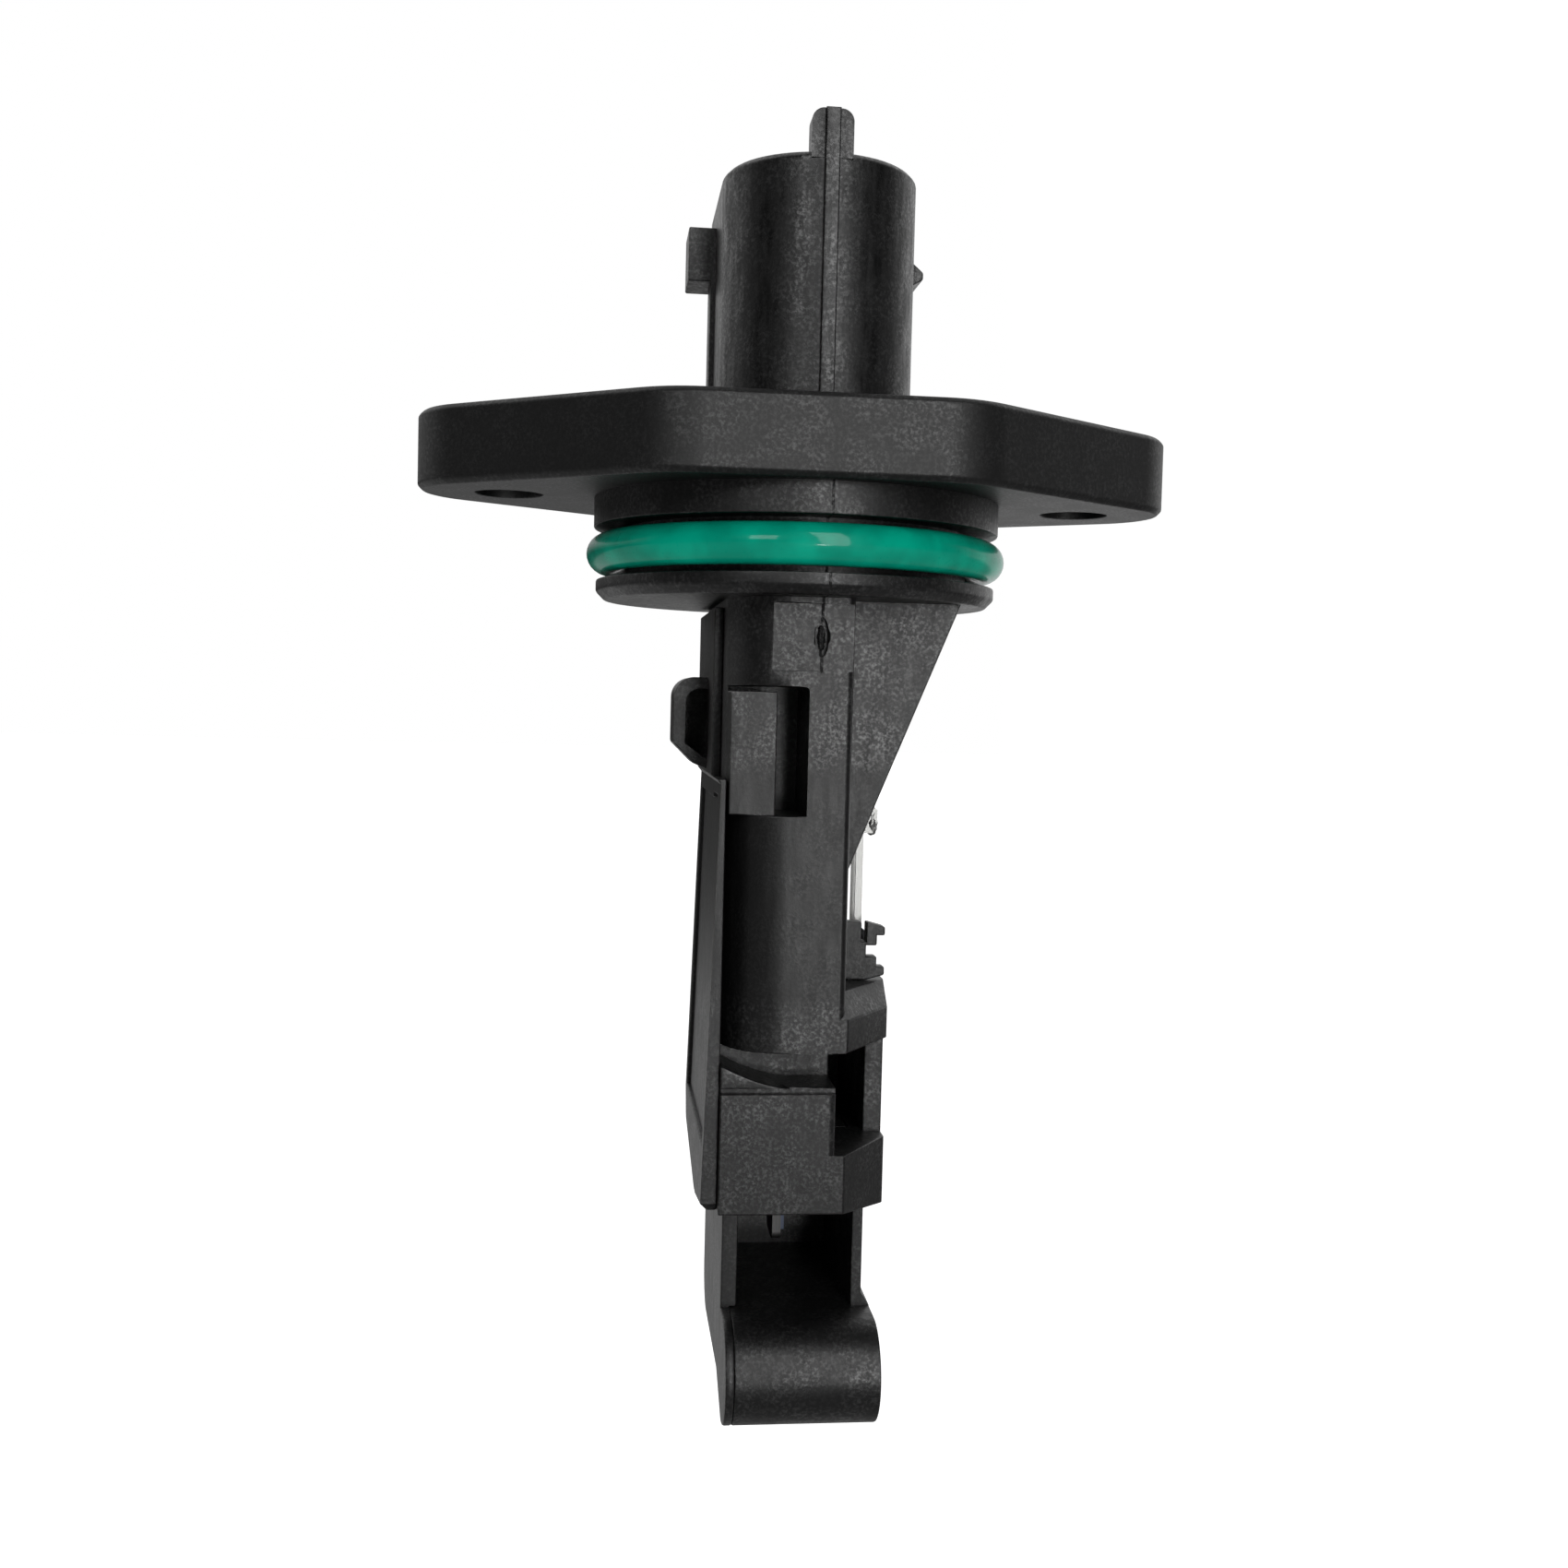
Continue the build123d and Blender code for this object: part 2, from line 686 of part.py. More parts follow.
    # Electronics bay, the adhesive groove round it, and the sensor tongue's way out
    with BuildSketch(Plane.YZ.offset(finger_left)):
        with Locations((bay_front, bay_bottom)):
            RectangleRounded(bay_back - bay_front, bay_top - bay_bottom, bay_corner, align=Align.MIN)
    extrude(amount=bay_floor - finger_left, mode=Mode.SUBTRACT)
    extrude(adhesive_ring(), amount=adhesive_depth, mode=Mode.SUBTRACT)
    with BuildSketch(Plane.XY.offset(bay_bottom + past)):
        with Locations((carrier_left - channel_fit, tongue_front - channel_fit)):
            Rectangle(carrier_thickness + 2 * channel_fit, tongue_width + 2 * channel_fit, align=Align.MIN)
    extrude(amount=neck_top - bay_bottom - 2 * past, mode=Mode.SUBTRACT)

    # Socket in the collar for the measuring channel's neck
    with BuildSketch(Plane.XY.offset(neck_top + channel_fit)):
        with Locations((neck_left - channel_fit, neck_front - channel_fit)):
            socket_width = neck_right - neck_left + 2 * channel_fit
            Rectangle(socket_width, neck_back - neck_front + 2 * channel_fit, align=Align.MIN)
    extrude(amount=collar_bottom - neck_top - past, mode=Mode.SUBTRACT)

    # Seats of the moulded-in metal
    for row in terminal_rows:
        add(terminal_shape(row, moulded_fit), mode=Mode.SUBTRACT)
    for y in (lead_front_y, lead_rear_y):
        add(post_shape(y, moulded_fit), mode=Mode.SUBTRACT)
sensor_housing.part.label = "sensor_housing"

with BuildPart() as seal_ring:
    with BuildSketch(Plane.XZ):
        with Locations((seal_ring_radius, seal_ring_z)):
            Circle(seal_section / 2)
        # Its inner side lies flat on the floor of the groove
        with Locations((seal_inner_radius, seal_ring_z)):
            Rectangle(seal_section, seal_section, align=(Align.MAX, Align.CENTER), mode=Mode.SUBTRACT)
    revolve(axis=Axis.Z)
seal_ring.part.label = "seal_ring"

with BuildPart() as cover_adhesive:
    extrude(adhesive_ring(), amount=adhesive_depth)
cover_adhesive.part.label = "cover_adhesive"

with BuildPart() as cover_side:
    # Lower part over the whole finger, upper part behind the column, as prisms along X
    reach = finger_left - 2 * cover_plate_bottom
    with BuildSketch(Plane.YZ.offset(reach)):
        add(cover_outline())
    extrude(amount=finger_left - reach)

with BuildPart() as electronics_cover:
    extrude(cover_front_profile(), amount=finger_back - finger_front)
    add(cover_side.part, mode=Mode.INTERSECT)
    # The lower edge is bevelled, and the face inside the rim lies lower
    bevelled = electronics_cover.edges().filter_by(lambda edge: edge.center().X < finger_left - cover_bevel)
    bevelled = bevelled.filter_by(lambda edge: edge.center().Z < bay_bottom - cover_margin)
    chamfer(bevelled, length=cover_bevel)
    add(cover_panel.part, mode=Mode.SUBTRACT)
    # Hood with a hollow that opens to the front
    with BuildSketch(Plane.XZ.offset(-hood_front)):
        add(hood_profile())
    extrude(amount=-hood_length)
    with BuildSketch(Plane.XZ.offset(-hood_front)):
        add(hood_profile(hood_wall))
    extrude(amount=hood_wall - hood_length, mode=Mode.SUBTRACT)
electronics_cover.part.label = "electronics_cover"

with BuildPart() as nose_flank:
    # The nose stands out to the right of the channel's wall, and flares back to it above
    with BuildSketch(Plane.XZ.offset(-channel_back)):
        flank = channel_right + nose_side_step
        Polygon((channel_right - channel_right_wall, nose_top + nose_flare),
                (channel_right, nose_top + nose_flare), (flank, nose_top), (flank, channel_bottom),
                (channel_right - channel_right_wall, channel_bottom), align=None)
    extrude(amount=channel_back - nose_y + nose_radius)
    with BuildSketch(Plane.YZ):
        add(channel_side())
    extrude(amount=flank, mode=Mode.INTERSECT)

with BuildPart() as channel_body:
    # Moulding with the nose a little wider than the walls above it
    with BuildSketch(Plane.YZ.offset(channel_left)):
        add(channel_side())
    extrude(amount=channel_right - channel_left)
    add(nose_flank.part)
    # Neck that enters the collar
    with BuildSketch(Plane.XY.offset(neck_top)):
        with Locations((neck_left, neck_front)):
            Rectangle(neck_right - neck_left, neck_back - neck_front, align=Align.MIN)
    extrude(amount=nose_top - neck_top)
    # Inlet passage, open to the side cover, and the riser behind the sensor tongue
    extrude(passage(), amount=channel_inner_right - channel_left, mode=Mode.SUBTRACT)
    with BuildSketch(Plane.XY.offset(neck_top + past)):
        with Locations((neck_left + channel_wall, riser_front)):
            Rectangle(neck_right - neck_left - 2 * channel_wall, riser_length, align=Align.MIN)
    extrude(amount=nose_top - neck_top - past, mode=Mode.SUBTRACT)
    # Core of the nose, also behind the side cover
    with BuildSketch(Plane.YZ.offset(channel_left)):
        with BuildLine():
            low, high = channel_bottom + channel_wall, nose_top - channel_wall
            rear_low = channel_rear_bottom + channel_wall
            Polyline((nose_y, high), (riser_back, high), (riser_back, rear_low),
                     (nose_y + nose_belly_length, rear_low), (nose_y, low))
            ThreePointArc((nose_y, low), (nose_y - nose_radius + channel_wall, (low + high) / 2),
                          (nose_y, high))
        make_face()
    extrude(amount=channel_right - channel_left - channel_wall, mode=Mode.SUBTRACT)
    # Way in for the sensor tongue
    with BuildSketch(Plane.XY.offset(neck_top + past)):
        with Locations((carrier_left - channel_fit, tongue_front - channel_fit)):
            Rectangle(carrier_thickness + 2 * channel_fit, tongue_width + 2 * channel_fit, align=Align.MIN)
    extrude(amount=inlet_ceiling - neck_top - 2 * past, mode=Mode.SUBTRACT)
channel_body.part.label = "channel_body"

with BuildPart() as channel_cover:
    with BuildSketch(Plane.YZ.offset(channel_left - channel_cover_thickness)):
        add(channel_side())
    extrude(amount=channel_cover_thickness)
    extrude(passage(channel_fit), amount=channel_cover_pad)
channel_cover.part.label = "channel_cover"

with BuildPart() as carrier_plate:
    with BuildSketch(Plane.YZ.offset(carrier_left)):
        with Locations((bay_front + carrier_edge_gap, tongue_top)):
            carrier_width = bay_back - bay_front - 2 * carrier_edge_gap
            carrier_height = bay_top - carrier_edge_gap - tongue_top
            RectangleRounded(carrier_width, carrier_height, bay_corner, align=Align.MIN)
    extrude(amount=carrier_thickness)
carrier_plate.part.label = "carrier_plate"

with BuildPart() as circuit_board:
    with BuildSketch(Plane.YZ.offset(board_left)):
        with Locations((board_front, board_bottom)):
            Rectangle(board_back - board_front, board_top - board_bottom, align=Align.MIN)
    extrude(amount=board_thickness)
circuit_board.part.label = "circuit_board"

with BuildPart() as evaluation_chip:
    with BuildSketch(Plane.YZ.offset(board_left)):
        with Locations((bay_middle, chip_z)):
            Rectangle(chip_size, chip_size)
    extrude(amount=-chip_height)
evaluation_chip.part.label = "evaluation_chip"

with BuildPart() as capacitors:
    with BuildSketch(Plane.YZ.offset(board_left)):
        with Locations((bay_middle, capacitor_z)):
            with GridLocations(capacitor_pitch, 0, capacitor_count, 1):
                Rectangle(capacitor_width, capacitor_length)
    extrude(amount=-capacitor_height)
capacitors.part.label = "capacitors"

with BuildPart() as resistors:
    with BuildSketch(Plane.YZ.offset(board_left)):
        with Locations((bay_middle, resistor_z)):
            with GridLocations(resistor_pitch, 0, resistor_count, 1):
                Rectangle(resistor_width, resistor_length)
    extrude(amount=-resistor_height)
resistors.part.label = "resistors"

with BuildPart() as protective_gel:
    with BuildSketch(Plane.YZ.offset(board_left)):
        with Locations((board_front + gel_side_margin, gel_bottom)):
            Rectangle(board_back - board_front - 2 * gel_side_margin, gel_top - gel_bottom, align=Align.MIN)
    extrude(amount=-gel_thickness)
    for component in (evaluation_chip, capacitors, resistors):
        add(component.part, mode=Mode.SUBTRACT)
protective_gel.part.label = "protective_gel"

with BuildPart() as bond_wires:
    # From the terminals to the board, and from the board to the sensor tongue
    terminal_face = bay_terminal_x - terminal_thickness / 2
    foot_z = bay_top - terminal_in_bay + terminal_width / 2
    for row in terminal_rows:
        y = bay_middle + row * board_end_pitch
        add(wire_shape(y, terminal_face, foot_z, board_left, board_top - wire_land))
    for row in terminal_rows:
        y = tongue_front + tongue_width / 2 + row * tongue_wire_pitch
        add(wire_shape(y, board_left, board_bottom + wire_land, carrier_left, tongue_top - wire_land))
bond_wires.part.label = "bond_wires"

with BuildPart() as sensor_tongue:
    with BuildSketch(Plane.YZ.offset(carrier_left)) as tongue_face:
        with Locations((tongue_front, tongue_tip)):
            Rectangle(tongue_width, tongue_top - tongue_tip, align=Align.MIN)
        fillet(tongue_face.vertices().group_by(Axis.Y)[0], radius=tongue_tip_round)
    extrude(amount=carrier_thickness)
sensor_tongue.part.label = "sensor_tongue"

with BuildPart() as sensor_chip:
    with BuildSketch(Plane.YZ.offset(bay_floor)):
        with Locations((tongue_front + tongue_width / 2, tongue_tip + sensor_chip_above_tip)):
            Rectangle(sensor_chip_width, sensor_chip_length, align=(Align.CENTER, Align.MIN))
    extrude(amount=sensor_chip_thickness)
sensor_chip.part.label = "sensor_chip"

with BuildPart() as temperature_bead:
    with BuildSketch(Plane.XZ.offset(-lead_front_y - lead_thickness / 2)):
        with Locations((post_x + lead_width / 2, bead_z)):
            Circle(bead_diameter / 2)
    extrude(amount=lead_front_y - lead_rear_y + lead_thickness)
    chamfer(temperature_bead.edges(), length=bead_bevel)
temperature_bead.part.label = "temperature_bead"


os.makedirs("parts", exist_ok=True)
export_step(sensor_housing.part, "parts/sensor_housing.step")
export_step(seal_ring.part, "parts/seal_ring.step")
export_step(cover_adhesive.part, "parts/cover_adhesive.step")
export_step(electronics_cover.part, "parts/electronics_cover.step")
export_step(channel_body.part, "parts/channel_body.step")
export_step(channel_cover.part, "parts/channel_cover.step")
export_step(carrier_plate.part, "parts/carrier_plate.step")
export_step(circuit_board.part, "parts/circuit_board.step")
export_step(evaluation_chip.part, "parts/evaluation_chip.step")
export_step(capacitors.part, "parts/capacitors.step")
export_step(resistors.part, "parts/resistors.step")
export_step(protective_gel.part, "parts/protective_gel.step")
export_step(bond_wires.part, "parts/bond_wires.step")
export_step(sensor_tongue.part, "parts/sensor_tongue.step")
export_step(sensor_chip.part, "parts/sensor_chip.step")
export_step(temperature_bead.part, "parts/temperature_bead.step")
for number, row in enumerate(terminal_rows, 1):
    terminal = terminal_shape(row)
    terminal.label = f"terminal_{number}"
    export_step(terminal, f"parts/{terminal.label}.step")
for side, y in (("front", lead_front_y), ("rear", lead_rear_y)):
    post = post_shape(y)
    post.label = f"contact_post_{side}"
    export_step(post, f"parts/{post.label}.step")
    lead = lead_shape(y)
    lead.label = f"temperature_lead_{side}"
    export_step(lead, f"parts/{lead.label}.step")
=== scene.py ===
import json
import math

import bmesh
import bpy
from mathutils import Matrix, Vector

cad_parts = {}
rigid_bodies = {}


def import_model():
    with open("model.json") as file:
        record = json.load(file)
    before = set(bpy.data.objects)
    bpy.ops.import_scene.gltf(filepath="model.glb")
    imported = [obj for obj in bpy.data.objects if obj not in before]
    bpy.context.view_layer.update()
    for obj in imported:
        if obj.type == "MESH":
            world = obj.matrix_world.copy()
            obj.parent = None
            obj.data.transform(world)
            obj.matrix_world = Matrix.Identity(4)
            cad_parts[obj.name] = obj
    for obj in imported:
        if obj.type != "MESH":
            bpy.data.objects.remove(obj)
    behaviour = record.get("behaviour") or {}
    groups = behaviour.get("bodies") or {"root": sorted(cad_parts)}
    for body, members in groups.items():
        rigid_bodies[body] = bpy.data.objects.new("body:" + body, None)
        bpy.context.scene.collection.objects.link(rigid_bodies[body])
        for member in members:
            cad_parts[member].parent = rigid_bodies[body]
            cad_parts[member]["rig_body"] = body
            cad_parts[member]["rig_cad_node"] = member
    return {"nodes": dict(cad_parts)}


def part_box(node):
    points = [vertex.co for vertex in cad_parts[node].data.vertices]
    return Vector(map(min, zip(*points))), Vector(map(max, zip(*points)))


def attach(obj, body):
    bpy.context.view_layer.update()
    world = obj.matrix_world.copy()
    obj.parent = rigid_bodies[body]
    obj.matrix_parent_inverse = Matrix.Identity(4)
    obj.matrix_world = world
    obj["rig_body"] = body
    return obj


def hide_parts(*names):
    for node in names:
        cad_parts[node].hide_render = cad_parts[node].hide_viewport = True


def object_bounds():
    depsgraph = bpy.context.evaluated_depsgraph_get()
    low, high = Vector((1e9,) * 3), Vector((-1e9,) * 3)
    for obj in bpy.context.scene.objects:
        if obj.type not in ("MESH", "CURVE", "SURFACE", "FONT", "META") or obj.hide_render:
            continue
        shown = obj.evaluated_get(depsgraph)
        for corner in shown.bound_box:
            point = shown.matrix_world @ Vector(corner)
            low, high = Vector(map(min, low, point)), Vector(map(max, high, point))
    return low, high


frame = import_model()
CAD_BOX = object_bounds()
MM = 0.001
# Corners closer than this are made one, and so are faces of a dressed copy that are this nearly in one plane
SAME_PLACE = 0.002 * MM
SAME_PLANE = math.radians(0.6)
# Sharper edges than the first are rounded, and sharper ones than the second are shaded as edges
ROUNDED_FROM = math.radians(28)
SHADED_FROM = math.radians(35)
# Edges shorter than this many widths of the rounding belong to the piece's own fillets
SHORT_EDGE = 1.7

bl_info = {
    "name": "Mass Airflow Sensor Looks",
    "version": (1, 0, 0),
    "blender": (4, 5, 0),
    "location": "View3D > Sidebar > Sensor",
    "description": "Finishes and fine detail of a plug-in mass airflow sensor",
    "category": "Object",
}


class SensorFinish(bpy.types.PropertyGroup):
    """Colours and surface grain"""

    housing_black: bpy.props.FloatVectorProperty(
        name="Housing black", description="Glass-filled plastic of the housing", subtype="COLOR", size=3,
        default=(0.002, 0.002, 0.0021), min=0, max=1)
    cover_black: bpy.props.FloatVectorProperty(
        name="Cover black", description="Plastic of both side covers", subtype="COLOR", size=3,
        default=(0.003, 0.003, 0.0031), min=0, max=1)
    channel_black: bpy.props.FloatVectorProperty(
        name="Channel black", description="Plastic of the measuring channel", subtype="COLOR", size=3,
        default=(0.002, 0.002, 0.0021), min=0, max=1)
    fibre_grey: bpy.props.FloatVectorProperty(
        name="Fibre grey", description="Specks where glass fibres reach the surface", subtype="COLOR", size=3,
        default=(0.012, 0.012, 0.0122), min=0, max=1)
    seal_green: bpy.props.FloatVectorProperty(
        name="Seal green", description="Rubber of the sealing ring", subtype="COLOR", size=3,
        default=(0.0, 0.3, 0.195), min=0, max=1)
    tin: bpy.props.FloatVectorProperty(
        name="Tin", description="Tinned contacts, posts and leads", subtype="COLOR", size=3,
        default=(0.4, 0.4, 0.39), min=0, max=1)
    flange_top: bpy.props.FloatProperty(
        name="Flange top", description="Height up to which the flange's finer finish reaches", unit="LENGTH",
        default=5.4 * MM)
    finish_fade: bpy.props.FloatProperty(
        name="Finish fade", description="Height over which the flange's finish fades into its neighbours",
        unit="LENGTH", default=0.3 * MM)
    column_top: bpy.props.FloatProperty(
        name="Column top", description="Height below which the column is smoother", unit="LENGTH",
        default=-17.5 * MM)
    column_bottom: bpy.props.FloatProperty(
        name="Column bottom", description="Height above which the column is smoother", unit="LENGTH",
        default=-34 * MM)
    parting_line: bpy.props.FloatProperty(
        name="Parting line", description="Where the line of the mould's halves runs down the front",
        unit="LENGTH", default=0.65 * MM)
    parting_bottom: bpy.props.FloatProperty(
        name="Parting bottom", description="Height down to which the parting line runs", unit="LENGTH",
        default=-12 * MM)
    parting_depth: bpy.props.FloatProperty(
        name="Parting depth", description="Nothing behind this depth has the parting line", unit="LENGTH",
        default=-9 * MM)
    grain_size: bpy.props.FloatProperty(
        name="Grain size", description="Distance between specks", unit="LENGTH",
        default=0.24 * MM, min=0.05 * MM, max=2 * MM)
    grain_depth: bpy.props.FloatProperty(
        name="Grain depth", description="Height of the moulded grain", unit="LENGTH",
        default=0.02 * MM, min=0, max=0.2 * MM)


class SensorSizes(bpy.types.PropertyGroup):
    """Sizes of what is finished or added here"""

    edge_break: bpy.props.FloatProperty(
        name="Edge break", description="Rounding of the moulded edges", unit="LENGTH",
        default=0.12 * MM, min=0.01 * MM, max=0.5 * MM)
    gate_middle: bpy.props.FloatVectorProperty(
        name="Gate middle", description="Middle of the torn stub in the oval recess", subtype="TRANSLATION",
        size=3, unit="LENGTH", default=(0.65 * MM, -10.22 * MM, -9.68 * MM))
    gate_height: bpy.props.FloatProperty(
        name="Gate height", description="Height of the torn stub in the oval recess", unit="LENGTH",
        default=1.7 * MM, min=0.2 * MM, max=2.4 * MM)
    weld_size: bpy.props.FloatProperty(
        name="Weld size", description="Height of the weld nugget on a post", unit="LENGTH",
        default=2.0 * MM, min=0.3 * MM, max=3 * MM)


class StudioSetup(bpy.types.PropertyGroup):
    """Camera, lamps and floor"""

    eye: bpy.props.FloatVectorProperty(
        name="Eye", description="Where the camera stands", subtype="TRANSLATION", size=3, unit="LENGTH",
        default=(-0.01389, -0.1183, -0.01381))
    yaw: bpy.props.FloatProperty(
        name="Yaw", description="Turn of the view to the right", subtype="ANGLE", default=0.1137)
    pitch: bpy.props.FloatProperty(
        name="Pitch", description="Lift of the view", subtype="ANGLE", default=-0.0498)
    roll: bpy.props.FloatProperty(
        name="Roll", description="Tilt of the view about its line of sight", subtype="ANGLE", default=0.0251)
    lens: bpy.props.FloatProperty(
        name="Lens", description="Focal length on a 36 mm sensor", unit="CAMERA", default=38.39)
    floor_size: bpy.props.FloatProperty(
        name="Floor size", description="Length of each side of the floor", unit="LENGTH", default=6, min=0.5)
    floor_drop: bpy.props.FloatProperty(
        name="Floor drop", description="Gap between the sensor's tip and the floor", unit="LENGTH",
        default=0.045, min=0)
    key_turn: bpy.props.FloatProperty(
        name="Key turn", description="How far right of the front the main light stands", subtype="ANGLE",
        default=math.radians(14))
    key_height: bpy.props.FloatProperty(
        name="Key height", description="Angle of the main light above the horizon", subtype="ANGLE",
        default=math.radians(20))
    key_size: bpy.props.FloatVectorProperty(
        name="Key size", description="Width and height of the main light", unit="LENGTH", size=2,
        default=(0.14, 0.7), min=0.01)
    key_power: bpy.props.FloatProperty(
        name="Key power", description="Power of the main light", unit="POWER", default=1.65, min=0)
    glint_turn: bpy.props.FloatProperty(
        name="Glint turn", description="How far right of the front the small low light stands",
        subtype="ANGLE", default=math.radians(8))
    glint_height: bpy.props.FloatProperty(
        name="Glint height", description="Angle of the small low light above the horizon", subtype="ANGLE",
        default=math.radians(-9))
    glint_size: bpy.props.FloatVectorProperty(
        name="Glint size", description="Width and height of the small low light", unit="LENGTH", size=2,
        default=(0.06, 0.03), min=0.01)
    glint_power: bpy.props.FloatProperty(
        name="Glint power", description="Power of the small low light", unit="POWER", default=0.22, min=0)
    side_turn: bpy.props.FloatProperty(
        name="Side turn", description="How far right of the front the weak side light stands",
        subtype="ANGLE", default=math.radians(-24))
    side_height: bpy.props.FloatProperty(
        name="Side height", description="Angle of the weak side light above the horizon", subtype="ANGLE",
        default=math.radians(24))
    side_size: bpy.props.FloatVectorProperty(
        name="Side size", description="Width and height of the weak side light", unit="LENGTH", size=2,
        default=(0.12, 0.16), min=0.01)
    side_power: bpy.props.FloatProperty(
        name="Side power", description="Power of the weak side light", unit="POWER", default=0.35, min=0)
    lamp_distance: bpy.props.FloatProperty(
        name="Lamp distance", description="From the sensor to each lamp", unit="LENGTH", default=0.5, min=0.1)


class Wire:
    """A socket in a node tree. Sums and products of wires add the nodes that work them out."""

    def __init__(self, tree, socket):
        self.tree = tree
        self.socket = socket

    def math(self, operation, *others):
        values = dict(enumerate((self, *others)))
        return node(self.tree, "ShaderNodeMath", values, operation=operation)

    def __add__(self, other):
        return self.math("ADD", other)

    __radd__ = __add__

    def __mul__(self, other):
        return self.math("MULTIPLY", other)

    __rmul__ = __mul__

    def __sub__(self, other):
        return self.math("SUBTRACT", other)

    def __rsub__(self, other):
        return node(self.tree, "ShaderNodeMath", {0: other, 1: self}, operation="SUBTRACT")

    def band(self, low, high):
        """0 below low, 1 above high, smooth between."""
        values = {"Value": self, "From Min": low, "From Max": high}
        return node(self.tree, "ShaderNodeMapRange", values, interpolation_type="SMOOTHSTEP")

    def beside(self, output):
        """Another output of the same node."""
        return Wire(self.tree, self.socket.node.outputs[output])


def node(tree, kind, values=None, output=0, **settings):
    """Adds a node: its settings first, then the values or wires of its sockets.

    Returns one output, or nothing from a node that has none.
    """
    made = tree.nodes.new(kind)
    for name, value in settings.items():
        setattr(made, name, value)
    for name, value in (values or {}).items():
        socket = made.inputs[name]
        if isinstance(value, Wire):
            tree.links.new(value.socket, socket)
        elif hasattr(socket.default_value, "__len__") and len(value) == 3 and len(socket.default_value) == 4:
            socket.default_value = (*value, 1)
        else:
            socket.default_value = value
    return Wire(tree, made.outputs[output]) if made.outputs else None


def new_material(name):
    """An empty material, its node tree, and the place of each point on a piece."""
    material = bpy.data.materials.new(name)
    material.use_nodes = True
    tree = material.node_tree
    tree.nodes.clear()
    return material, tree, node(tree, "ShaderNodeTexCoord", output="Object")


def close_material(tree, shader):
    node(tree, "ShaderNodeOutputMaterial", {"Surface": shader})


def principled(tree, values):
    close_material(tree, node(tree, "ShaderNodeBsdfPrincipled", values))


def mixed(tree, factor, first, second):
    """A colour between two colours, each of them a wire or three numbers."""
    values = {"Factor": factor, 6: first, 7: second}
    return node(tree, "ShaderNodeMix", values, output=2, data_type="RGBA")


def grey(level):
    return (level, level, level)


def darker(colour, share):
    return tuple(channel * share for channel in colour)


def axes(tree, place):
    """The three parts of a vector."""
    x = node(tree, "ShaderNodeSeparateXYZ", {"Vector": place})
    return x, x.beside("Y"), x.beside("Z")


def noise(tree, place, spacing, detail=2.0, roughness=0.5, stretch=(1, 1, 1)):
    """Noise whose spots lie about one spacing apart, stretched along the axes."""
    scaled = node(tree, "ShaderNodeMapping", {"Vector": place, "Scale": stretch})
    values = {"Vector": scaled, "Scale": 1 / spacing, "Detail": detail, "Roughness": roughness}
    return node(tree, "ShaderNodeTexNoise", values)


def bump(tree, height, depth, strength=1.0):
    """A normal for a surface that is as high as a wire says, in parts of a depth."""
    return node(tree, "ShaderNodeBump", {"Strength": strength, "Distance": depth, "Height": height})


def moulded_plastic(name, black, dullness, speckle, streak):
    """Glass-filled plastic: black, with shiny fibre specks, flow streaks and a fine moulded grain.

    The flange has a finer finish than what stands on it and hangs below it, and the column is smoother
    below its window. A parting line runs down the front, over the neck and the panel with the gate mark.
    """
    finish = bpy.context.scene.sensor_finish
    material, tree, place = new_material(name)
    fine = noise(tree, place, finish.grain_size, detail=3.0, roughness=0.65)
    patches = noise(tree, place, finish.grain_size * 9, detail=3.0).band(0.35, 0.62)
    flow = noise(tree, place, finish.grain_size * 2.2, detail=3.0, stretch=(1, 1, 0.2))
    x, y, z = axes(tree, place)

    # Masks of 0 and 1: above the flange, on the flange, on the column, and in the parting line
    above = z.band(finish.flange_top, finish.flange_top + finish.finish_fade)
    flange = z.band(-finish.finish_fade, 0) - above
    column = z.band(finish.column_bottom, finish.column_bottom + 1 * MM)
    column = column * (1 - z.band(finish.column_top - 1.5 * MM, finish.column_top))
    off_line = (x - finish.parting_line).math("ABSOLUTE").band(0.04 * MM, 0.1 * MM)
    hanging = z.band(finish.parting_bottom, finish.parting_bottom + 0.1 * MM) * (1 - z.band(0, 0.1 * MM))
    facing = 1 - y.band(finish.parting_depth, finish.parting_depth + 0.1 * MM)
    line = (1 - off_line) * facing * hanging

    # The flow streaks are missing on the flange and twice as strong above it
    flowing = 1 - flange + above
    specks = fine.band(0.42, 0.7) * (0.3 + patches * 0.7) * (1 - flange * 0.4) * (1 - column * 0.75)
    roughness = dullness + (flow - 0.5) * flowing * streak + flange * 0.07 + line * 0.4
    height = fine * (0.45 + patches * 0.55) * (1 - flange * 0.4) + flow * flowing * 0.35 - line * 3
    values = {"Base Color": mixed(tree, specks, black, finish.fibre_grey), "Roughness": roughness,
              "Normal": bump(tree, height, finish.grain_depth), "IOR": 1.5,
              "Coat Weight": specks * speckle, "Coat Roughness": 0.32, "Coat IOR": 1.8}
    principled(tree, values)
    return material


def seal_rubber():
    """Glossy green rubber with a faint cloudiness."""
    finish = bpy.context.scene.sensor_finish
    material, tree, place = new_material("seal rubber")
    cloud = noise(tree, place, 2.5 * MM, detail=2.0)
    dust = noise(tree, place, 0.25 * MM, detail=2.0)
    colour = mixed(tree, cloud.band(0.35, 0.7), darker(finish.seal_green, 0.72), finish.seal_green)
    values = {"Base Color": colour, "Roughness": 0.22 + dust * 0.16,
              "Normal": bump(tree, dust, 0.01 * MM, 0.2), "Coat Weight": 0.3, "Coat Roughness": 0.06,
              "Specular IOR Level": 0.06}
    principled(tree, values)
    return material


